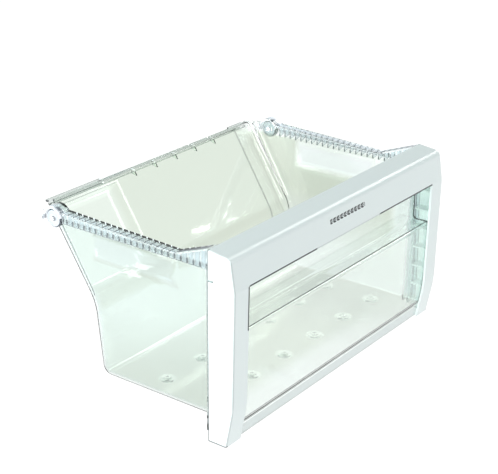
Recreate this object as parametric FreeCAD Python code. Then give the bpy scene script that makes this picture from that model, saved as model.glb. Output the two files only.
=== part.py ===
# Fridge crisper drawer: a clear moulded bin, a white front frame clipped over it and two rear rollers.
# Millimetres. x runs to the right seen from the front, y back from the front fold, z up from the foot.
import FreeCAD
import Part
import math
import os

Vector = FreeCAD.Vector

# Front frame, an upside-down U of one skin
front_width = 400.0
frame_depth = 33.0
frame_skin = 2.5
foot_back = 10.5
knee_back = 2.4
knee_height = 42.0
knee_round = 150.0
fold_height = 171.0
fold_round = 8.0
crest_back = 5.4
crest_height = 205.8
crest_round = 8.0
ledge_height = 209.0
ledge_lip = 9.0
end_round = 2.2
strip_width = 24.0
band_lip = 6.0
web_thickness = 1.6
web_pitch = 24.0
web_first = 14.0
clip_heights = (62.0, 177.0)
clip_depths = (1.6, 3.0)
clip_height = 1.6
fit_gap = 0.3
least_round = 0.5

# Bin walls, floor and flared rear
wall = 2.5
floor_height = 16.0
side_inset = 18.5
side_draft = 1.0
side_round = 6.0
front_floor_round = 5.0
rear_foot = 193.0
rear_floor_round = 12.0
bend_height = 99.0
bend_round = 60.0
lower_lean = 5.6
upper_lean = 32.0
rail_drop = 12.0
skirt_foot = 1.5

# Hand pocket in the bin's front wall
pocket_floor = 124.0
pocket_back = 24.0
pocket_round = 4.0

# Rails along both sides, with cross ribs and a ramp up to the frame
rail_width = 10.0
rail_skin = 2.2
rail_fall = 5.0
rail_lip = 11.5
rib_pitch = 8.0
rib_thickness = 1.6
rib_drop = 2.0
ramp_length = 46.0
ear_back = 26.0
ear_foot = 12.0
stop_thickness = 1.8
stop_inset = 0.8
tab_reach = 1.3

# Rear rim
rim_width = 5.0
rim_lip = 6.0
rim_step = 3.5
rim_round = 16.0
pip_pitch = 36.0
pip_count = 5
pip_middle = 26.0
pip_drop = 8.0

# Corner panels of the rear wall, pressed outwards, the right one running from below the bend to the rim
panel_margin = 24.0
panel_depth = 6.0
panel_bevel = 5.0
left_panel_width = 98.0
left_panel_bevel = 15.0
left_panel_foot = 5.0
left_panel_head = 109.5
left_foot_bevel = 12.0
right_panel_width = 37.0
right_panel_bevel = 25.0
right_panel_foot = -25.0

# Side wall panels below the rails, pressed outwards
side_panel = (82.0, 198.0)
side_panel_foot = 148.0
side_panel_head = 184.0
side_panel_depth = 3.0
side_panel_bevel = 8.0

# Grip bumps on the floor
bump_pitch = 60.0
bump_columns = 6
bump_rows = (62.0, 127.0)
bump_radius = 11.0
bump_crown = 6.0
bump_rise = 1.6

# Rollers, their stub axles and guards
roller_radius = 10.2
roller_width = 8.0
roller_setback = 21.4
roller_drop = 8.0
roller_edge = 1.2
axle_radius = 3.0
axle_clearance = 0.05
side_clearance = 0.3
boss_radius = 5.5
boss_height = 2.5
head_radius = 4.0
head_height = 1.5
head_lead = 0.5
guard_gap = 1.6
guard_skin = 2.0
guard_front_angle = 165.0
guard_rear_angle = -12.0
guard_overhang = 1.0

# Working values: how far cutters run past a face, and how near counts as touching
overcut = 1.0
touch = 0.01

# Values that follow from the sizes
half_width = front_width / 2
floor_half_width = half_width - side_inset
rail_top = ledge_height - rail_drop
rail_low = rail_top - rail_fall
window_half = half_width - strip_width
bin_inset = frame_skin + fit_gap
ledge_slope = (ledge_height - crest_height) / (frame_depth - crest_back)
band_slope = crest_back / (crest_height - fold_height)
lower_slope = math.tan(math.radians(lower_lean))
upper_slope = math.tan(math.radians(upper_lean))
side_slope = math.tan(math.radians(side_draft))
bend_back = rear_foot + (bend_height - floor_height) * lower_slope
rear_top = bend_back + (rail_top - bend_height) * upper_slope
roller_back = rear_top - roller_setback
roller_height = rail_top - roller_drop
rim_back = rear_top + rim_width
drawer_depth = rim_back + rim_step
front_top = crest_height + (pocket_back - crest_back) * ledge_slope - bin_inset
ramp_front = frame_depth + fit_gap
ramp_back = ramp_front + ramp_length
lip_foot = rail_top - rail_lip
rail_end = roller_back - roller_radius - guard_gap
above = ledge_height + frame_depth
panel_edge = half_width - panel_margin
left_panel = (-panel_edge, left_panel_width - panel_edge)
right_panel = (panel_edge - right_panel_width, panel_edge)
rim_steps = ((left_panel[0], left_panel[1] - left_panel_bevel), right_panel)


def side_at(z):
    # Half width across the bin's side walls
    return floor_half_width + (z - floor_height) * side_slope


def front_at(z):
    # Set-back of the frame's outer front face
    if z < knee_height:
        return foot_back + (knee_back - foot_back) * z / knee_height
    if z < fold_height:
        return knee_back * (fold_height - z) / (fold_height - knee_height)
    return (z - fold_height) * band_slope


rail_half = side_at(rail_top) + rail_width
rim_half = side_at(rail_top)


def box(x0, x1, y0, y1, z0, z1):
    return Part.makeBox(x1 - x0, y1 - y0, z1 - z0, Vector(x0, y0, z0))


def slab(points, push):
    # A flat polygon pushed along a vector
    return Part.Face(Part.makePolygon(points + points[:1])).extrude(push)


def profile_yz(corners):
    # A closed outline in the y-z plane, each corner given as y, z and radius
    points = [Vector(0, y, z) for y, z, radius in corners]
    edges = []
    joints = []
    for i, point in enumerate(points):
        back = (points[i - 1] - point).normalize()
        ahead = (points[(i + 1) % len(points)] - point).normalize()
        radius = corners[i][2]
        if radius == 0:
            joints.append((point, point))
            continue
        half_angle = back.getAngle(ahead) / 2
        reach = radius / math.tan(half_angle)
        bisector = (back + ahead).normalize()
        middle = point + bisector * (radius / math.sin(half_angle) - radius)
        start = point + back * reach
        stop = point + ahead * reach
        edges.append(Part.Arc(start, middle, stop).toShape())
        joints.append((start, stop))
    for i, joint in enumerate(joints):
        edges.append(Part.LineSegment(joints[i - 1][1], joint[0]).toShape())
    return Part.Face(Part.Wire(Part.__sortEdges__(edges)))


def prism(corners, x0, x1):
    face = profile_yz(corners)
    face.translate(Vector(x0, 0, 0))
    return face.extrude(Vector(x1 - x0, 0, 0))


def polygon_yz(points, x0, x1):
    return prism([(y, z, 0) for y, z in points], x0, x1)


def polygon_xz(points, y0, y1):
    return slab([Vector(x, y0, z) for x, z in points], Vector(0, y1 - y0, 0))


def mirrored(shape):
    return shape.mirror(Vector(0, 0, 0), Vector(1, 0, 0))


def cylinder_x(radius, x0, x1):
    return Part.makeCylinder(radius, x1 - x0, Vector(x0, roller_back, roller_height), Vector(1, 0, 0))


def frustum(origin, u, v, n, u_range, v_range, low, high, u_bevels, v_bevels):
    # A bevelled pad on a plane, its outline drawn in by the bevels at its full height along n
    rings = []
    for height in (low, high):
        share = height / high
        corners = []
        for a, b in ((0, 0), (1, 0), (1, 1), (0, 1)):
            along = u_range[a] + share * u_bevels[a] * (1 - 2 * a)
            across = v_range[b] + share * v_bevels[b] * (1 - 2 * b)
            corners.append(origin + u * along + v * across + n * height)
        rings.append(corners)
    faces = rings + [[rings[0][i - 1], rings[0][i], rings[1][i], rings[1][i - 1]] for i in range(4)]
    shell = Part.Shell([Part.Face(Part.makePolygon(face + face[:1])) for face in faces])
    solid = Part.Solid(shell)
    if solid.Volume < 0:
        solid.reverse()
    return solid


def frame_outline(setback, foot, back):
    # Frame section drawn in by a set-back from the front face and the ledge
    crest_z = crest_height - setback + (setback - crest_back - band_slope * fold_height) * ledge_slope
    crest_z /= 1 - band_slope * ledge_slope
    crest_y = (crest_z - fold_height) * band_slope + setback
    back_z = ledge_height - setback + (back - frame_depth) * ledge_slope
    return [(front_at(foot) + setback, foot, 0), (back, foot, 0), (back, back_z, 0),
            (crest_y, crest_z, max(crest_round - setback, least_round)), (setback, fold_height, fold_round),
            (knee_back + setback, knee_height, knee_round)]


def build_frame():
    body = prism(frame_outline(0, 0, frame_depth), -half_width, half_width)
    ends = []
    for edge in body.Edges:
        middle = edge.valueAt((edge.FirstParameter + edge.LastParameter) / 2)
        on_end = abs(abs(middle.x) - half_width) < touch
        if on_end and middle.y < frame_depth - touch and middle.z > touch:
            ends.append(edge)
    body = body.makeFillet(end_round, ends)
    inside = half_width - frame_skin
    body = body.cut(prism(frame_outline(frame_skin, -overcut, frame_depth + overcut), -inside, inside))
    body = body.cut(box(-window_half, window_half, -overcut, frame_depth - frame_skin - overcut,
                        -overcut, fold_height))
    lip_half = side_at(rail_top) - side_round - fit_gap
    extras = [box(-window_half, window_half, frame_skin / 2, band_lip, fold_height, fold_height + frame_skin)]
    extras.append(box(-lip_half, lip_half, frame_depth - frame_skin, frame_depth,
                      ledge_height - ledge_lip, ledge_height - frame_skin / 2))
    web_count = int((fold_height - web_first) / web_pitch) + 1
    for i in range(web_count):
        z = web_first + i * web_pitch
        web = box(side_at(z + web_thickness) + fit_gap, half_width - frame_skin / 2,
                  front_at(z) + frame_skin / 2, ear_back - fit_gap, z, z + web_thickness)
        extras += [web, mirrored(web)]
    body = body.fuse(extras)
    for z, depth in zip(clip_heights, clip_depths):
        reach = clip_height / 2 + fit_gap
        notch = box(inside - overcut, inside + depth, ear_back - fit_gap, frame_depth + overcut,
                    z - reach, z + reach)
        body = body.cut(notch).cut(mirrored(notch))
    return body.removeSplitter()


def side_wedge(inset):
    # The space between the two drafted side planes
    top = above + frame_depth
    foot = side_at(0) - inset
    head = side_at(top) - inset
    return polygon_xz([(-foot, 0), (foot, 0), (head, top), (-head, top)], -frame_depth, 2 * drawer_depth)


def round_sides(solid, inset, radius):
    # Rounds the edges where the floor and the rear wall meet the side walls
    picks = []
    for edge in solid.Edges:
        middle = edge.valueAt((edge.FirstParameter + edge.LastParameter) / 2)
        ends = [vertex.Point for vertex in edge.Vertexes]
        on_side = abs(abs(middle.x) - side_at(middle.z) + inset) < touch
        below_top = min(point.z for point in ends) < rail_low - touch
        if on_side and below_top and middle.y > ramp_front:
            picks.append(edge)
    return solid.makeFillet(radius, picks)


def rear_pads(low, lift):
    # The two corner panels, lifted off the rear wall's outer plane
    up = Vector(0, math.sin(math.radians(upper_lean)), math.cos(math.radians(upper_lean)))
    out = Vector(0, up.z, -up.y)
    across = Vector(1, 0, 0)
    origin = Vector(0, bend_back, bend_height) + out * lift
    left = frustum(origin, across, up, out, left_panel, (left_panel_foot, left_panel_head), low, panel_depth,
                   (panel_bevel, left_panel_bevel), (left_foot_bevel, panel_bevel))
    right = frustum(origin, across, up, out, right_panel, (right_panel_foot, above), low, panel_depth,
                    (right_panel_bevel, panel_bevel), (0, 0))
    return [left, right]


def side_pads(low, lift):
    up = Vector(math.sin(math.radians(side_draft)), 0, math.cos(math.radians(side_draft)))
    out = Vector(up.z, 0, -up.x)
    origin = Vector(side_at(side_panel_foot), 0, side_panel_foot) + out * lift
    bevels = (side_panel_bevel, side_panel_bevel)
    heights = (0, side_panel_head - side_panel_foot)
    pad = frustum(origin, Vector(0, 1, 0), up, out, side_panel, heights, low, side_panel_depth,
                  bevels, bevels)
    return [pad, mirrored(pad)]


def build_shell():
    outline = [(front_at(floor_height) + bin_inset, floor_height, 0),
               (rear_foot, floor_height, rear_floor_round),
               (bend_back, bend_height, bend_round), (rear_top, rail_top, 0), (rail_end, rail_top, 0),
               (ramp_back, rail_low, 0), (ramp_front, ledge_height, 0), (ramp_front, front_top, 0),
               (pocket_back, front_top, 0), (pocket_back, pocket_floor, pocket_round),
               (front_at(pocket_floor) + bin_inset, pocket_floor, pocket_round),
               (knee_back + bin_inset, knee_height, knee_round)]
    outer = prism(outline, -half_width, half_width).common(side_wedge(0))
    outer = round_sides(outer, 0, side_round)
    lower_wall = wall / math.cos(math.radians(lower_lean))
    upper_wall = wall / math.cos(math.radians(upper_lean))
    floor_top = floor_height + wall
    bend_rise = (upper_wall - lower_wall) / (upper_slope - lower_slope)
    front_in = bin_inset + wall
    under_pocket = pocket_floor - wall
    cavity_outline = [(front_at(floor_top) + front_in, floor_top, front_floor_round),
                      (rear_foot + wall * lower_slope - lower_wall, floor_top, rear_floor_round - wall),
                      (bend_back + bend_rise * lower_slope - lower_wall, bend_height + bend_rise,
                       bend_round + wall),
                      (bend_back + (above - bend_height) * upper_slope - upper_wall, above, 0),
                      (pocket_back + wall, above, 0), (pocket_back + wall, under_pocket, pocket_round + wall),
                      (front_at(under_pocket) + front_in, under_pocket, pocket_round - wall),
                      (knee_back + front_in, knee_height, knee_round)]
    cavity = prism(cavity_outline, -half_width, half_width).common(side_wedge(wall))
    cavity = round_sides(cavity, wall, side_round - wall)
    below_rail = box(-half_width, half_width, 0, 2 * drawer_depth, 0, rail_top)
    pads = [pad.common(below_rail) for pad in rear_pads(-wall, 0)]
    outer = outer.fuse(pads + side_pads(-wall, 0))
    cavity = cavity.fuse(rear_pads(-wall / 2, -wall) + side_pads(-wall / 2, -wall))
    return outer, cavity


def build_front():
    # Pocket ends, the skirt below the floor, the ears that carry the frame and the stops behind it
    crest = frame_outline(bin_inset, 0, frame_depth)[3]
    cheek = prism([(pocket_back + wall / 2, pocket_floor - wall / 2, 0),
                   (front_at(pocket_floor) + bin_inset, pocket_floor - wall / 2, 0),
                   (bin_inset, fold_height, 0), (crest[0], crest[1], crest_round),
                   (pocket_back + wall / 2, front_top, 0)], 0, half_width)
    cheek = cheek.common(side_wedge(0)).cut(side_wedge(wall))
    floor_top = floor_height + wall
    skirt = polygon_yz([(front_at(skirt_foot) + bin_inset, skirt_foot),
                        (front_at(floor_top) + bin_inset, floor_top),
                        (front_at(floor_top) + bin_inset + wall, floor_top),
                        (front_at(skirt_foot) + bin_inset + wall, skirt_foot)],
                       -floor_half_width, floor_half_width)
    ear_half = half_width - frame_skin - fit_gap
    ear = polygon_xz([(side_at(ear_foot) - wall, ear_foot), (ear_half, ear_foot), (ear_half, rail_top),
                      (side_at(rail_top) - wall, rail_top)], ear_back, ear_back + wall)
    ears = [ear]
    for z in clip_heights:
        ears.append(box(ear_half - overcut, half_width - frame_skin + tab_reach, ear_back, ear_back + wall,
                        z - clip_height / 2, z + clip_height / 2))
    stop_half = half_width - stop_inset
    ears.append(polygon_xz([(side_at(ear_foot) - wall / 2, ear_foot), (stop_half, ear_foot),
                            (stop_half, rail_low), (side_at(rail_low) - wall / 2, rail_low)],
                           ramp_front, ramp_front + stop_thickness))
    ears += [mirrored(shape) for shape in ears]
    return [cheek, skirt] + ears


def rail_top_at(y):
    if y > ramp_back:
        return rail_low + rail_fall * (y - ramp_back) / (rail_end - ramp_back)
    return rail_low + (ledge_height - rail_low) * (ramp_back - y) / ramp_length


def build_rail():
    # The right-hand rail: sloping flange, ramp, outer lip and cross ribs
    root = side_at(lip_foot) - wall / 2
    line = [(rail_end, rail_top), (ramp_back, rail_low), (ramp_front, ledge_height)]
    under = [(y, z - rail_skin) for y, z in line[::-1]]
    pieces = [polygon_yz(line + under, root, rail_half)]
    lip = [(ear_back, lip_foot), (rail_end, lip_foot)] + line + [(ramp_front, rail_low), (ear_back, rail_low)]
    pieces.append(polygon_yz(lip, rail_half - rail_skin, rail_half))
    lip_middle = rail_half - rail_skin / 2
    for i in range(1, int((rail_end - ramp_front) / rib_pitch) + 1):
        y = rail_end - i * rib_pitch
        head = rail_top_at(y + rib_thickness / 2) - rail_skin / 2
        pieces.append(polygon_xz([(root, lip_foot - rib_drop), (lip_middle, lip_foot), (lip_middle, head),
                                  (root, head)], y, y + rib_thickness))
    return pieces


axle_root = side_at(roller_height)
roller_inner = axle_root + boss_height + side_clearance
roller_outer = roller_inner + roller_width
head_inner = roller_outer + side_clearance
guard_inner = roller_radius + guard_gap
guard_outer = guard_inner + guard_skin


def on_guard(radius, angle):
    turn = math.radians(angle)
    return Vector(0, roller_back + radius * math.cos(turn), roller_height + radius * math.sin(turn))


def build_guard():
    # The right-hand stub axle with its snap head, and the arch over the roller
    start = axle_root - wall / 2
    boss = cylinder_x(boss_radius, start, axle_root + boss_height)
    axle = cylinder_x(axle_radius, start, head_inner)
    head = Part.makeCone(head_radius, axle_radius - head_lead, head_height,
                         Vector(head_inner, roller_back, roller_height), Vector(1, 0, 0))
    middle = (guard_front_angle + guard_rear_angle) / 2
    arcs = [Part.Arc(on_guard(radius, guard_front_angle), on_guard(radius, middle),
                     on_guard(radius, guard_rear_angle)).toShape() for radius in (guard_inner, guard_outer)]
    sides = [Part.makeLine(on_guard(guard_inner, angle), on_guard(guard_outer, angle))
             for angle in (guard_front_angle, guard_rear_angle)]
    arch = Part.Face(Part.Wire(Part.__sortEdges__(arcs + sides)))
    arch.translate(Vector(start, 0, 0))
    arch = arch.extrude(Vector(head_inner + head_height + guard_overhang - start, 0, 0))
    web = cylinder_x(guard_outer, axle_root - wall, axle_root)
    web = web.common(box(0, half_width, 0, drawer_depth, rail_top - wall, above))
    return [boss, axle, head, arch, web]


def build_rim():
    # Rear rim: rounded flange, wider at the corner panels, with a lip and small gussets below
    under = rail_top - rail_skin
    flange = box(-rim_half, rim_half, roller_back, rim_back, under, rail_top)
    corners = [edge for edge in flange.Edges
               if abs(edge.Vertexes[0].Point.z - edge.Vertexes[1].Point.z) > touch
               and edge.Vertexes[0].Point.y > rim_back - touch]
    pieces = [flange.makeFillet(rim_round, corners)]
    lip_half = rim_half - rim_round
    pieces.append(box(-lip_half, lip_half, rim_back - rail_skin, rim_back, rail_top - rim_lip, rail_top))
    for span in rim_steps:
        pieces.append(box(span[0], span[1], rim_back - rail_skin, rim_back + rim_step, under, rail_top))
    foot = rail_top - pip_drop
    foot_back_y = bend_back + (foot - bend_height) * upper_slope
    for i in range(pip_count):
        x = pip_middle + (i - (pip_count - 1) / 2) * pip_pitch
        pieces.append(polygon_yz([(foot_back_y - wall / 2, foot),
                                  (rim_back - rail_skin / 2, rail_top - rim_lip),
                                  (rim_back - rail_skin / 2, rail_top - rail_skin / 2),
                                  (rear_top - wall, rail_top - rail_skin / 2)],
                                 x - rib_thickness / 2, x + rib_thickness / 2))
    return pieces


def build_bumps():
    floor_top = floor_height + wall
    bumps = []
    for row in bump_rows:
        for i in range(bump_columns):
            x = (i - (bump_columns - 1) / 2) * bump_pitch
            bumps.append(Part.makeCone(bump_radius, bump_crown, bump_rise, Vector(x, row, floor_top)))
    return bumps


def build_bin():
    outer, cavity = build_shell()
    right = build_rail() + build_guard()
    front = build_front()
    outside = right + [mirrored(shape) for shape in right] + build_rim()
    body = outer.fuse(outside).cut(cavity)
    body = body.fuse(front + [mirrored(front[0])] + build_bumps())
    return body.removeSplitter()


def build_roller():
    bore = axle_radius + axle_clearance
    edge = roller_edge
    outline = [(0, bore), (roller_width, bore), (roller_width, roller_radius - edge),
               (roller_width - edge, roller_radius), (edge, roller_radius), (0, roller_radius - edge)]
    points = [Vector(roller_inner + x, roller_back, roller_height + r) for x, r in outline]
    face = Part.Face(Part.makePolygon(points + points[:1]))
    return face.revolve(Vector(0, roller_back, roller_height), Vector(1, 0, 0), 360)


roller = build_roller()
nodes = {"bin": build_bin(), "front_frame": build_frame(),
         "right_roller": roller, "left_roller": mirrored(roller)}

os.makedirs("parts", exist_ok=True)
for name, shape in nodes.items():
    shape.translate(Vector(0, -drawer_depth / 2, 0))
    print(name, len(shape.Solids), shape.isValid(), round(shape.Volume), shape.BoundBox)
    shape.exportStep("parts/" + name + ".step")
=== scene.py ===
import bmesh
import bpy
import math
from mathutils import Matrix, Quaternion, Vector


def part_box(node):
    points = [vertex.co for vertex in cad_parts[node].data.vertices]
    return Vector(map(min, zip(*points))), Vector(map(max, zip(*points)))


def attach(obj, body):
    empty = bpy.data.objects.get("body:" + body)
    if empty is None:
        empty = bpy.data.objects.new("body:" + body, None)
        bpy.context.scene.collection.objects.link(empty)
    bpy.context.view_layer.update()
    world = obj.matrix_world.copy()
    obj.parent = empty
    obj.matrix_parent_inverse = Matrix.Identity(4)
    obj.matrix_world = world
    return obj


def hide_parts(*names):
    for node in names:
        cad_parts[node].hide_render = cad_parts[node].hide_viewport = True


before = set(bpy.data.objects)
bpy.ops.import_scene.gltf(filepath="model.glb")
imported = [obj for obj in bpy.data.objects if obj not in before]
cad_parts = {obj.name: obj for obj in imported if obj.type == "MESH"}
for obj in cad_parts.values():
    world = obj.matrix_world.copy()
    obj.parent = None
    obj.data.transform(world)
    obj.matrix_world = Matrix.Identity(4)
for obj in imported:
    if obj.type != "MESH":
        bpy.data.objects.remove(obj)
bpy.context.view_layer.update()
print("frame loaded:", sorted(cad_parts))

# Camera at the photo's view: it stands front left and looks down into the drawer
photoView = {
    "azimuth": -53.39,
    "elevation": 22.61,
    "roll": 0.38,
    "place": (-1.0924, -0.8147, 0.6978),
    "lens": 95.0,
    "sensor": 36.0,
    "farthest": 50.0,
}


def addCamera(view):
    azimuth = math.radians(view["azimuth"])
    elevation = math.radians(view["elevation"])
    roll = math.radians(view["roll"])
    back = Vector((math.sin(azimuth) * math.cos(elevation),
                   -math.cos(azimuth) * math.cos(elevation), math.sin(elevation)))
    level = Vector((math.cos(azimuth), math.sin(azimuth), 0))
    upright = back.cross(level)
    right = level * math.cos(roll) + upright * math.sin(roll)
    up = upright * math.cos(roll) - level * math.sin(roll)
    turn = Matrix((right, up, back)).transposed().to_4x4()
    bpy.ops.object.camera_add()
    camera = bpy.context.object
    camera.name = "photoCamera"
    camera.matrix_world = Matrix.Translation(view["place"]) @ turn
    camera.data.sensor_width = view["sensor"]
    camera.data.lens = view["lens"]
    camera.data.clip_end = view["farthest"]
    bpy.context.scene.camera = camera


addCamera(photoView)
print("camera placed")

mixSockets = {"mask": 0, "under": 6, "over": 7, "mixed": 2}  # a Mix node's sockets for colours


def link(tree, source, output, target, socket):
    tree.links.new(source.outputs[output], target.inputs[socket])


def reckon(tree, operation, *terms):
    # A math node fed by sockets and plain numbers
    node = tree.nodes.new("ShaderNodeMath")
    node.operation = operation
    for slot, term in enumerate(terms):
        if isinstance(term, (int, float)):
            node.inputs[slot].default_value = term
        else:
            tree.links.new(term, node.inputs[slot])
    return node.outputs[0]


def mixColors(tree, mask, under, over):
    # Lays one colour over another where the mask is 1
    mix = tree.nodes.new("ShaderNodeMix")
    mix.data_type = "RGBA"
    tree.links.new(mask, mix.inputs[mixSockets["mask"]])
    for socket, color in (("under", under), ("over", over)):
        if isinstance(color, tuple):
            mix.inputs[mixSockets[socket]].default_value = color
        else:
            tree.links.new(color, mix.inputs[mixSockets[socket]])
    return mix.outputs[mixSockets["mixed"]]


def addPlaces(tree, kind="Object"):
    # Where a point lies along each axis, for the masks
    place = tree.nodes.new("ShaderNodeTexCoord")
    split = tree.nodes.new("ShaderNodeSeparateXYZ")
    link(tree, place, kind, split, "Vector")
    return {axis: split.outputs[axis] for axis in "XYZ"}


def zoneMask(tree, places, fades):
    # 1 inside the zone; it fades in between two values of each place named
    mask = None
    for place, start, end in fades:
        fade = tree.nodes.new("ShaderNodeMapRange")
        fade.inputs["From Min"].default_value = start
        fade.inputs["From Max"].default_value = end
        tree.links.new(places[place], fade.inputs["Value"])
        if mask:
            tree.links.new(mask, fade.inputs["To Max"])
        mask = fade.outputs["Result"]
    return mask


def layZones(tree, places, zones, under):
    # Each zone's shade lies over those before it
    for fades, shade in zones:
        under = mixColors(tree, zoneMask(tree, places, fades), under, shade)
    return under


# White studio on a light table: pale sky, greyer overhead, soft lamps at both sides,
# and two cards and a window that show only as reflections
studio = {
    "horizon": (0.62, 0.66, 0.66, 1),
    "zenith": (0.36, 0.40, 0.40, 1),
    "zenithFrom": 0.30,
    "zenithTo": 0.75,
    "skyStrength": 1.0,
    "floorSize": 8.0,
    "floorShade": (0.12, 0.12, 0.12, 1),
    "floorRoughness": 0.9,
    "floorGlow": (0.97, 0.97, 0.97, 1),
    "floorGlowStrength": 1.0,
    "shadeSlant": -0.95,
    "glowZones": (
        # brighter table at the left rear, only in mirror images and in the light it throws
        ((("X", -0.20, -0.34), ("Y", -0.10, 0.10), ("mirrored", 0, 1)), (2.4, 2.65, 2.75, 1)),
        # the drawer's soft shade falls to the right, away from the big lamp
        ((("slant", 0.14, 0.26), ("slant", 0.40, 0.36), ("Y", -0.12, -0.06), ("Y", 0.36, 0.30)),
         (0.88, 0.90, 0.88, 1)),
    ),
}
lamps = {
    "leftSoftbox": {
        "place": (-1.7, 0.25, 0.75), "aim": (0, 0, 0.1), "size": (1.5, 1.5),
        "power": 30, "tint": (0.96, 1.0, 1.0), "roll": 0, "lights": True,
    },
    "rightSoftbox": {
        "place": (1.50, -0.36, 1.36), "aim": (0, 0, 0.12), "size": (0.85, 0.75),
        "power": 10, "tint": (1.0, 1.0, 0.97), "roll": 0, "lights": True,
    },
    "farWindow": {  # a streak on the rear wall
        "place": (1.640, -1.226, 0.884), "aim": (0.03, 0.07, 0.12), "size": (0.13, 0.009),
        "power": 0.06, "tint": (1.0, 1.0, 1.0), "roll": -35, "lights": False,
    },
    "frontCard": {
        "place": (0.81, -1.46, 0.92), "aim": (0.03, 0.07, 0.12), "size": (0.75, 0.80),
        "power": 7.5, "tint": (1.0, 1.0, 1.0), "roll": 0, "lights": False,
    },
    "nearCard": {  # a line down the right rear corner
        "place": (-0.60, -1.06, 0.74), "aim": (0.17, 0.10, 0.15), "size": (0.7, 0.6),
        "power": 16, "tint": (1.0, 1.0, 1.0), "roll": 0, "lights": False,
    },
}


def addSky(look):
    world = bpy.data.worlds.new("studioSky")
    bpy.context.scene.world = world
    world.use_nodes = True
    tree = world.node_tree
    background = tree.nodes["Background"]
    ramp = tree.nodes.new("ShaderNodeValToRGB")
    ramp.color_ramp.elements[0].position = look["zenithFrom"]
    ramp.color_ramp.elements[0].color = look["horizon"]
    ramp.color_ramp.elements[1].position = look["zenithTo"]
    ramp.color_ramp.elements[1].color = look["zenith"]
    tree.links.new(addPlaces(tree, "Generated")["Z"], ramp.inputs["Fac"])
    link(tree, ramp, "Color", background, "Color")
    background.inputs["Strength"].default_value = look["skyStrength"]


def addLamp(name, look):
    aim = Vector(look["aim"]) - Vector(look["place"])
    bpy.ops.object.light_add(type="AREA", location=look["place"])
    lamp = bpy.context.object
    lamp.name = name
    roll = Quaternion((0, 0, 1), math.radians(look["roll"]))
    lamp.rotation_euler = (aim.to_track_quat("-Z", "Y") @ roll).to_euler()
    lamp.data.shape = "RECTANGLE"
    lamp.data.size, lamp.data.size_y = look["size"]
    lamp.data.energy = look["power"]
    lamp.data.color = look["tint"]
    lamp.visible_camera = False
    lamp.visible_diffuse = look["lights"]


def addFloor(look):
    bpy.ops.mesh.primitive_plane_add(size=look["floorSize"])
    floor = bpy.context.object
    floor.name = "studioFloor"
    paint = bpy.data.materials.new("paleFloor")
    paint.use_nodes = True
    tree = paint.node_tree
    shader = tree.nodes["Principled BSDF"]
    shader.inputs["Base Color"].default_value = look["floorShade"]
    shader.inputs["Roughness"].default_value = look["floorRoughness"]
    shader.inputs["Emission Strength"].default_value = look["floorGlowStrength"]
    places = addPlaces(tree)
    places["slant"] = reckon(tree, "MULTIPLY_ADD", places["Y"], look["shadeSlant"], places["X"])
    path = tree.nodes.new("ShaderNodeLightPath")
    places["mirrored"] = reckon(tree, "MAXIMUM", path.outputs["Glossy Depth"],
                                path.outputs["Is Diffuse Ray"])
    glow = layZones(tree, places, look["glowZones"], look["floorGlow"])
    tree.links.new(glow, shader.inputs["Emission Color"])
    floor.data.materials.append(paint)


addSky(studio)
for name, look in lamps.items():
    addLamp(name, look)
addFloor(studio)
bpy.context.scene.view_settings.view_transform = "Standard"
print("studio lit")

# Fine unevenness of moulded plastic, shared by every finish on the drawer
mouldGroup = bpy.data.node_groups.new("mouldedSurface", "ShaderNodeTree")
moulding = {
    "inputs": (
        ("Grain Scale", "NodeSocketFloat", 900.0),
        ("Flow Scale", "NodeSocketFloat", 9.0),
        ("Low", "NodeSocketFloat", 0.0),
        ("High", "NodeSocketFloat", 1.0),
        ("Shade", "NodeSocketColor", (1, 1, 1, 1)),
        ("Pale Shade", "NodeSocketColor", (1, 1, 1, 1)),
    ),
    "outputs": (
        ("Color", "NodeSocketColor"),
        ("Roughness", "NodeSocketFloat"),
        ("Height", "NodeSocketFloat"),
    ),
    "grainDetail": 2,
    "flowDetail": 3,
}


def buildMouldGroup(group, look):
    for name, kind, start in look["inputs"]:
        socket = group.interface.new_socket(name, in_out="INPUT", socket_type=kind)
        socket.default_value = start
    for name, kind in look["outputs"]:
        group.interface.new_socket(name, in_out="OUTPUT", socket_type=kind)
    nodes = group.nodes
    given = nodes.new("NodeGroupInput")
    result = nodes.new("NodeGroupOutput")
    place = nodes.new("ShaderNodeTexCoord")
    grain = nodes.new("ShaderNodeTexNoise")
    grain.inputs["Detail"].default_value = look["grainDetail"]
    flow = nodes.new("ShaderNodeTexNoise")
    flow.inputs["Detail"].default_value = look["flowDetail"]
    spread = nodes.new("ShaderNodeMapRange")
    for noise, scale in ((grain, "Grain Scale"), (flow, "Flow Scale")):
        link(group, place, "Object", noise, "Vector")
        link(group, given, scale, noise, "Scale")
    link(group, flow, "Fac", spread, "Value")
    link(group, given, "Low", spread, "To Min")
    link(group, given, "High", spread, "To Max")
    tone = mixColors(group, flow.outputs["Fac"], given.outputs["Shade"], given.outputs["Pale Shade"])
    group.links.new(tone, result.inputs["Color"])
    link(group, spread, "Result", result, "Roughness")
    link(group, grain, "Fac", result, "Height")


buildMouldGroup(mouldGroup, moulding)


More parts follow.
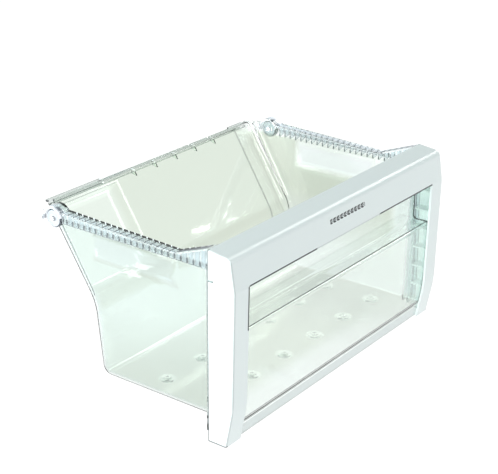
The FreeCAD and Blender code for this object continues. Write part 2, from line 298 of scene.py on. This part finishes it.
def addFinish(name, look):
    finish = bpy.data.materials.new(name)
    finish.use_nodes = True
    tree = finish.node_tree
    shader = tree.nodes["Principled BSDF"]
    surface = tree.nodes.new("ShaderNodeGroup")
    surface.node_tree = mouldGroup
    surface.inputs["Grain Scale"].default_value = look["grainScale"]
    surface.inputs["Flow Scale"].default_value = look["flowScale"]
    surface.inputs["Low"].default_value = look["roughness"][0]
    surface.inputs["High"].default_value = look["roughness"][1]
    surface.inputs["Shade"].default_value = look["shade"]
    surface.inputs["Pale Shade"].default_value = look["paleShade"]
    bump = tree.nodes.new("ShaderNodeBump")
    bump.inputs["Strength"].default_value = look["bump"]
    bump.inputs["Distance"].default_value = look["bumpDepth"]
    link(tree, surface, "Color", shader, "Base Color")
    link(tree, surface, "Roughness", shader, "Roughness")
    link(tree, surface, "Height", bump, "Height")
    link(tree, bump, "Normal", shader, "Normal")
    shader.inputs["IOR"].default_value = look["ior"]
    shader.inputs["Transmission Weight"].default_value = look["clear"]
    return finish


rollerLow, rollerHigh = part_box("left_roller")  # the right one is at the same height and depth
clearLook = {
    "shade": (0.79, 0.845, 0.775, 1),
    "paleShade": (0.82, 0.87, 0.80, 1),
    "roughness": (0.01, 0.05),
    "grainScale": 60.0,
    "flowScale": 14.0,
    "bump": 0.02,
    "bumpDepth": 0.0005,
    "ior": 1.5,
    "clear": 1.0,
    "window": (0.94, 0.96, 0.95, 1),
    "ribPitch": 0.008,
    "ribSetOff": 0.0008,  # from the roller's front to a rib's middle
    "zones": (
        ((("Y", 0.045, 0.060),), (0.72, 0.79, 0.70, 1)),  # rear wall
        ((("Y", 0.045, 0.060), ("Z", 0.094, 0.084)), (0.79, 0.855, 0.80, 1)),  # paler below its bend
        ((("Y", 0.045, 0.060), ("Z", 0.085, 0.092), ("Z", 0.111, 0.105)),
         (0.66, 0.72, 0.63, 1)),  # painted shade along the bend
        ((("Y", 0.045, 0.060), ("Z", 0.106, 0.114), ("X", -0.084, -0.093)),
         (0.79, 0.86, 0.79, 1)),  # painted light: the left panel paler
        ((("Y", 0.060, 0.065), ("X", 0.1378, 0.1384), ("X", 0.1404, 0.1398)),
         (0.40, 0.44, 0.40, 1)),  # painted shade: a dark line along the crease of the right panel
        ((("Y", -0.080, -0.102),), (0.93, 0.965, 0.945, 1)),  # front wall
        ((("Y", 0.1262, 0.1275),), (0.70, 0.74, 0.72, 1)),  # rim
        ((("size X", 0.168, 0.181),), (0.81, 0.86, 0.845, 1)),  # side walls
        ((("X", 0.160, 0.168), ("Y", -0.085, -0.075), ("Z", 0.060, 0.122), ("Z", 0.187, 0.183)),
         (0.61, 0.67, 0.585, 1)),  # painted shade: the upper half of the right wall, darker
        ((("X", 0.160, 0.168), ("Y", 0.064, 0.056), ("Z", 0.148, 0.156), ("Z", 0.187, 0.183)),
         (0.87, 0.93, 0.90, 1)),  # painted light: its pressed panel and in front of it, paler
        ((("size X", 0.1855, 0.1875),), (0.74, 0.78, 0.815, 1)),  # rails, cooler
        ((("size X", 0.1936, 0.1942), ("rib", 0.0017, 0.0010), ("Z", 0.1858, 0.1864),
          ("Z", 0.1922, 0.1912)), (0.05, 0.06, 0.075, 1)),  # painted shade: dark dashes where the cross ribs meet the rail's lip
        ((("Z", 0.0190, 0.0187), ("X", 0.02, 0.13)), (0.70, 0.745, 0.695, 1)),  # painted shade: the right half of the floor, darker
        ((("Z", 0.0158, 0.0148),), (0.62, 0.68, 0.675, 1)),  # skirt
    ),
    "glowStrength": 1.0,
    "noGlow": (0, 0, 0, 1),
    # painted highlights: these places glow though they are no lamps
    "glows": (
        ((("size X", 0.1855, 0.1875), ("Z", 0.1900, 0.1915)),
         (0.065, 0.073, 0.08, 1)),  # top of the rails
        ((("Y", 0.1225, 0.1235), ("Z", 0.1912, 0.1906)),
         (0.06, 0.07, 0.065, 1)),  # gussets under the rim
        ((("Y", -0.1250, -0.1256), ("Z", 0.0142, 0.0150), ("Z", 0.0192, 0.0184)),
         (0.44, 0.49, 0.47, 1)),  # front edge of the floor
        ((("Z", 0.0186, 0.0190), ("Z", 0.0216, 0.0211), ("size X", 0.170, 0.166),
          ("Y", -0.088, -0.086), ("Y", 0.006, 0.004)), (0.10, 0.11, 0.105, 1)),  # floor bumps
        ((("size X", 0.1950, 0.1955), ("Y", 0.05, 0.06)), (0.34, 0.36, 0.38, 1)),  # axle heads
    ),
}
whiteLook = {
    "shade": (0.80, 0.87, 0.87, 1),
    "paleShade": (0.84, 0.90, 0.895, 1),
    "roughness": (0.16, 0.22),
    "grainScale": 1600.0,
    "flowScale": 8.0,
    "bump": 0.08,
    "bumpDepth": 0.0002,
    "ior": 1.49,
    "clear": 0.0,
}
rollerLook = {
    "shade": (0.58, 0.61, 0.66, 1),
    "paleShade": (0.66, 0.69, 0.74, 1),
    "roughness": (0.30, 0.45),
    "grainScale": 1200.0,
    "flowScale": 40.0,
    "bump": 0.1,
    "bumpDepth": 0.0002,
    "ior": 1.5,
    "clear": 0.35,
    "axle": (rollerLow + rollerHigh) / 2,
    "zones": (
        ((("from axle", 0.0087, 0.0093),), (0.07, 0.08, 0.095, 1)),  # painted shade: the rim darker
    ),
}


def clearPlaces(finish, look):
    tree = finish.node_tree
    places = addPlaces(tree)
    places["size X"] = reckon(tree, "ABSOLUTE", places["X"])
    along = reckon(tree, "SUBTRACT", places["Y"], rollerLow.y - look["ribSetOff"])
    places["rib"] = reckon(tree, "PINGPONG", along, look["ribPitch"] / 2)
    return places


def rollerPlaces(finish, look):
    tree = finish.node_tree
    places = addPlaces(tree)
    back = reckon(tree, "SUBTRACT", places["Y"], look["axle"].y)
    rise = reckon(tree, "SUBTRACT", places["Z"], look["axle"].z)
    squares = reckon(tree, "ADD", reckon(tree, "MULTIPLY", back, back),
                     reckon(tree, "MULTIPLY", rise, rise))
    places["from axle"] = reckon(tree, "SQRT", squares)
    return places


# Lays each zone over the base colour: some are tints of the plastic, others painted shade and painted
# light
def tintAndShadeZones(finish, look, places):
    tree = finish.node_tree
    base = tree.nodes["Principled BSDF"].inputs["Base Color"]
    tree.links.new(layZones(tree, places, look["zones"], base.links[0].from_socket), base)


def glowEdges(finish, look, places):
    # Painted highlights: the rail tops, gussets, floor front edge, floor bumps and axle heads glow, as
    # if light led through the plastic came out at its edges
    tree = finish.node_tree
    shader = tree.nodes["Principled BSDF"]
    shader.inputs["Emission Strength"].default_value = look["glowStrength"]
    glow = layZones(tree, places, look["glows"], look["noGlow"])
    tree.links.new(glow, shader.inputs["Emission Color"])


def letLightThrough(finish, look):
    # Lamps and soft light from the floor pass straight through the walls
    tree = finish.node_tree
    path = tree.nodes.new("ShaderNodeLightPath")
    window = tree.nodes.new("ShaderNodeBsdfTransparent")
    window.inputs["Color"].default_value = look["window"]
    either = reckon(tree, "MAXIMUM", path.outputs["Is Shadow Ray"], path.outputs["Is Diffuse Ray"])
    plastic = tree.nodes["Principled BSDF"].outputs["BSDF"]
    choice = tree.nodes.new("ShaderNodeMixShader")
    for socket, source in enumerate((either, plastic, window.outputs["BSDF"])):
        tree.links.new(source, choice.inputs[socket])
    tree.links.new(choice.outputs["Shader"], tree.nodes["Material Output"].inputs["Surface"])


# Painted shadow in the gap at the pocket's opening, painted shade lines along the frame's edges and a
# printed leaf sprig
frameMarks = {
    # one ink prints the sprig and paints the shade lines and the gap shadow
    "printAndShadeInk": (0.045, 0.050, 0.055, 1),
    "frontFrom": -0.120,
    "edge": (0.1982, 0.0010),  # from the middle, depth
    "edgeStrength": 0.35,
    "sideFrom": 0.1970,
    "rearFrom": -0.1035,
    "footTo": 0.0013,
    "outlineStrength": 0.88,
    "front": -0.1354,
    "frontTurns": (  # height, slope, start
        (0.171, 0.155, 0.0),
        (0.171, -0.0186, 0.0),
        (0.042, -0.193, 0.0024),
    ),
    "gapShadowTop": (0.1716, 0.0010),  # middle and half width, as for the left one
    "gapShadowHalf": 0.1762,
    "gapShadowGlare": 0.061,
    "glareStrength": 0.8,
    "gapShadowLeft": (-0.1769, 0.0011),
    "gapShadowLeftRun": (0.148, 0.0235),
    "sprigMiddle": (0.0, 0.1913),
    "sprigHalf": 0.0335,
    "stemHalf": 0.00035,
    "leafPitch": 0.0067,
    "leafOut": 0.0016,
    "leafSize": (0.0028, 0.0011),
    "leafSlant": 0.9,
    "printDepth": 0.0012,
}


def markFrame(finish, look):
    tree = finish.node_tree

    def work(operation, *terms):
        return reckon(tree, operation, *terms)

    x, y, z = addPlaces(tree).values()
    # how far behind the front a point lies; the front is bent at two heights
    turns = [work("ADD", work("MULTIPLY", work("SUBTRACT", z, height), slope), start)
             for height, slope, start in look["frontTurns"]]
    setBack = work("MAXIMUM", work("MAXIMUM", turns[0], turns[1]), turns[2])
    depth = work("SUBTRACT", work("SUBTRACT", y, look["front"]), setBack)
    # the painted gap shadow fades in the middle, where the light glares on it
    onTop = work("MULTIPLY", work("COMPARE", z, *look["gapShadowTop"]),
                 work("COMPARE", x, 0, look["gapShadowHalf"]))
    glare = work("MULTIPLY", work("COMPARE", x, 0, look["gapShadowGlare"]), look["glareStrength"])
    onLeft = work("MULTIPLY", work("COMPARE", x, *look["gapShadowLeft"]),
                  work("COMPARE", z, *look["gapShadowLeftRun"]))
    gapShadow = work("MAXIMUM", work("MULTIPLY", onTop, work("SUBTRACT", 1, glare)), onLeft)
    # the sprig: a stem with slanted leaves on both sides, printed on the outer face only
    along = work("SUBTRACT", x, look["sprigMiddle"][0])
    rise = work("ABSOLUTE", work("SUBTRACT", z, look["sprigMiddle"][1]))
    stem = work("LESS_THAN", rise, look["stemHalf"])
    slant = work("SUBTRACT", along, work("MULTIPLY", rise, look["leafSlant"]))
    step = work("PINGPONG", slant, look["leafPitch"] / 2)
    outward = work("SUBTRACT", rise, look["leafOut"])
    reachX = work("POWER", work("DIVIDE", step, look["leafSize"][0]), 2)
    reachZ = work("POWER", work("DIVIDE", outward, look["leafSize"][1]), 2)
    leaf = work("LESS_THAN", work("ADD", reachX, reachZ), 1)
    onFace = work("MULTIPLY", work("COMPARE", along, 0, look["sprigHalf"]),
                  work("LESS_THAN", depth, look["printDepth"]))
    sprig = work("MULTIPLY", work("MAXIMUM", stem, leaf), onFace)
    # painted shade: fine dark lines along the front's outer edges
    onEdge = work("MULTIPLY", work("GREATER_THAN", work("ABSOLUTE", x), look["edge"][0]),
                  work("LESS_THAN", depth, look["edge"][1]))
    lines = work("MAXIMUM", gapShadow, work("MULTIPLY", onEdge, look["edgeStrength"]))
    inFront = work("LESS_THAN", y, look["frontFrom"])
    printAndShadeMask = work("MULTIPLY", work("MAXIMUM", lines, sprig), inFront)
    # painted shade: a dark line round the side faces, along their rear edge and foot
    border = work("MAXIMUM", work("GREATER_THAN", y, look["rearFrom"]),
                  work("LESS_THAN", z, look["footTo"]))
    onSide = work("GREATER_THAN", work("ABSOLUTE", x), look["sideFrom"])
    outline = work("MULTIPLY", work("MULTIPLY", border, onSide), look["outlineStrength"])
    mask = work("MAXIMUM", printAndShadeMask, outline)
    base = tree.nodes["Principled BSDF"].inputs["Base Color"]
    tree.links.new(mixColors(tree, mask, base.links[0].from_socket, look["printAndShadeInk"]), base)


clearPlastic = addFinish("clearPlastic", clearLook)
binPlaces = clearPlaces(clearPlastic, clearLook)
tintAndShadeZones(clearPlastic, clearLook, binPlaces)
glowEdges(clearPlastic, clearLook, binPlaces)
letLightThrough(clearPlastic, clearLook)
whitePlastic = addFinish("whitePlastic", whiteLook)
markFrame(whitePlastic, frameMarks)
rollerPlastic = addFinish("rollerPlastic", rollerLook)
tintAndShadeZones(rollerPlastic, rollerLook, rollerPlaces(rollerPlastic, rollerLook))
print("finishes mixed")

# Each moulding is the solid's own mesh, merged, with its sharp edges eased
easing = {
    "mergeWithin": 1e-6,
    "flatWithin": math.radians(0.3),
    "hardFrom": math.radians(53),  # edges that get the fine bevel
    "sharpFrom": math.radians(15.5),  # edges that stay sharp in the shading
    "segments": 2,
    "creaseTurn": (math.radians(11), math.radians(53)),
    "creaseLength": 0.015,
    "creaseRoom": 0.0045,  # least mean width of the faces beside it
    "creaseWidth": 0.0022,
    "creaseSegments": 4,
    "bend": (0.080, 0.116),  # lowest and highest place of the rear wall's bend
    "bendFrom": 0.05,
    "bendTurn": 0.01,
    "bendLean": 0.6,
    "bendCuts": [place / 1000 for place in range(-165, 170, 15)],  # one every 15 mm
    "flatArea": 0.002,
    "flatWeight": 100,
    "flatGroup": "flatCorners",
}


def selectOnly(piece):
    bpy.ops.object.select_all(action="DESELECT")
    piece.select_set(True)
    bpy.context.view_layer.objects.active = piece


def onBend(face, center, area):
    # The narrow faces of the rear wall's wide bend
    low, high = easing["bend"]
    level = abs(face.normal.x) < easing["bendTurn"] and abs(face.normal.z) < easing["bendLean"]
    inside = center.y > easing["bendFrom"] and low < center.z < high
    return level and inside and area < easing["flatArea"]


def cutBend(piece):
    # Cross cuts give the bend even corners to shade from
    mesh = bmesh.from_edit_mesh(piece.data)
    for place in easing["bendCuts"]:
        faces = [face for face in mesh.faces
                 if onBend(face, face.calc_center_median(), face.calc_area())]
        edges = {edge for face in faces for edge in face.edges}
        corners = {corner for face in faces for corner in face.verts}
        bmesh.ops.bisect_plane(mesh, geom=faces + list(edges) + list(corners),
                               plane_co=(place, 0, 0), plane_no=(1, 0, 0))
    bmesh.update_edit_mesh(piece.data)


def roundCreases(piece):
    # Long shallow creases, such as a panel's edge, get a wider round
    bpy.ops.mesh.select_mode(type="EDGE")
    bpy.ops.mesh.select_all(action="DESELECT")
    mesh = bmesh.from_edit_mesh(piece.data)
    low, high = easing["creaseTurn"]
    count = 0
    for edge in mesh.edges:
        length = edge.calc_length()
        if length < easing["creaseLength"] or not low < edge.calc_face_angle(0) < high:
            continue
        if min(face.calc_area() for face in edge.link_faces) / length > easing["creaseRoom"]:
            edge.select_set(True)
            count += 1
    bmesh.update_edit_mesh(piece.data)
    if count:
        bpy.ops.mesh.bevel(offset=easing["creaseWidth"], segments=easing["creaseSegments"],
                           affect="EDGES", clamp_overlap=False)
    print(piece.name, "creases rounded:", count)


def markFlats(piece):
    # Groups every corner but those inside the bend, which stays smooth
    bend = set()
    flat = set()
    for face in piece.data.polygons:
        (bend if onBend(face, face.center, face.area) else flat).update(face.vertices)
    corners = piece.vertex_groups.new(name=easing["flatGroup"])
    corners.add(list(flat), 1.0, "REPLACE")
    print(piece.name, "corners left smooth:", len(bend - flat))


def easedCopy(node, name, width):
    selectOnly(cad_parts[node])
    bpy.ops.object.duplicate()
    piece = bpy.context.object
    piece.name = name
    piece.parent = None
    bpy.ops.object.mode_set(mode="EDIT")
    bpy.ops.mesh.select_all(action="SELECT")
    bpy.ops.mesh.remove_doubles(threshold=easing["mergeWithin"])
    bpy.ops.mesh.dissolve_limited(angle_limit=easing["flatWithin"])
    cutBend(piece)
    roundCreases(piece)
    bpy.ops.object.mode_set(mode="OBJECT")
    bevel = piece.modifiers.new("easedEdges", "BEVEL")
    bevel.width = width
    bevel.segments = easing["segments"]
    bevel.limit_method = "ANGLE"
    bevel.angle_limit = easing["hardFrom"]
    bpy.ops.object.modifier_apply(modifier=bevel.name)
    bpy.ops.object.shade_smooth_by_angle(angle=easing["sharpFrom"])
    markFlats(piece)
    # keeps wide faces flat beside their rounds
    flats = piece.modifiers.new("flatFaces", "WEIGHTED_NORMAL")
    flats.keep_sharp = True
    flats.weight = easing["flatWeight"]
    flats.vertex_group = easing["flatGroup"]
    bpy.ops.object.modifier_apply(modifier=flats.name)
    return piece


def dress(piece, node, finish, body):
    piece.data.materials.clear()
    piece.data.materials.append(finish)
    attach(piece, body)
    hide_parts(node)


binShape = {
    "edgeWidth": 0.0004,
    "capHeight": (0.0196, 0.0206),
    "capArea": (0.00008, 0.00015),
    "capLevel": 0.99,
    "ring": (0.0014, 0.0010, 0.0006),  # inset, slope, rise
    "dimple": (0.0012, 0.0008, -0.0006),
}


def addNubs(piece, look):
    # Each floor bump ends in a small ring with a dimple
    selectOnly(piece)
    bpy.ops.object.mode_set(mode="EDIT")
    bpy.ops.mesh.select_mode(type="FACE")
    bpy.ops.mesh.select_all(action="DESELECT")
    mesh = bmesh.from_edit_mesh(piece.data)
    count = 0
    for face in mesh.faces:
        height = face.calc_center_median().z
        if (face.normal.z > look["capLevel"] and look["capHeight"][0] < height < look["capHeight"][1]
                and look["capArea"][0] < face.calc_area() < look["capArea"][1]):
            face.select_set(True)
            count += 1
    bmesh.update_edit_mesh(piece.data)
    for inset, slope, rise in (look["ring"], look["dimple"]):
        bpy.ops.mesh.inset(thickness=inset, depth=0, use_individual=True)
        bpy.ops.mesh.inset(thickness=slope, depth=rise, use_individual=True)
    bpy.ops.object.mode_set(mode="OBJECT")
    print("nubs on the floor bumps:", count)


clearBin = easedCopy("bin", "clearBin", binShape["edgeWidth"])
addNubs(clearBin, binShape)
dress(clearBin, "bin", clearPlastic, "drawer")
print("clear bin dressed:", len(clearBin.data.polygons), "faces")

frameShape = {"edgeWidth": 0.0005}
frontFrame = easedCopy("front_frame", "frontFrame", frameShape["edgeWidth"])
dress(frontFrame, "front_frame", whitePlastic, "drawer")
print("front frame dressed:", len(frontFrame.data.polygons), "faces")

rollerShape = {"edgeWidth": 0.0003}
for side in ("left", "right"):
    roller = easedCopy(side + "_roller", side + "Roller", rollerShape["edgeWidth"])
    dress(roller, side + "_roller", rollerPlastic, side + "_wheel")
print("rollers dressed")
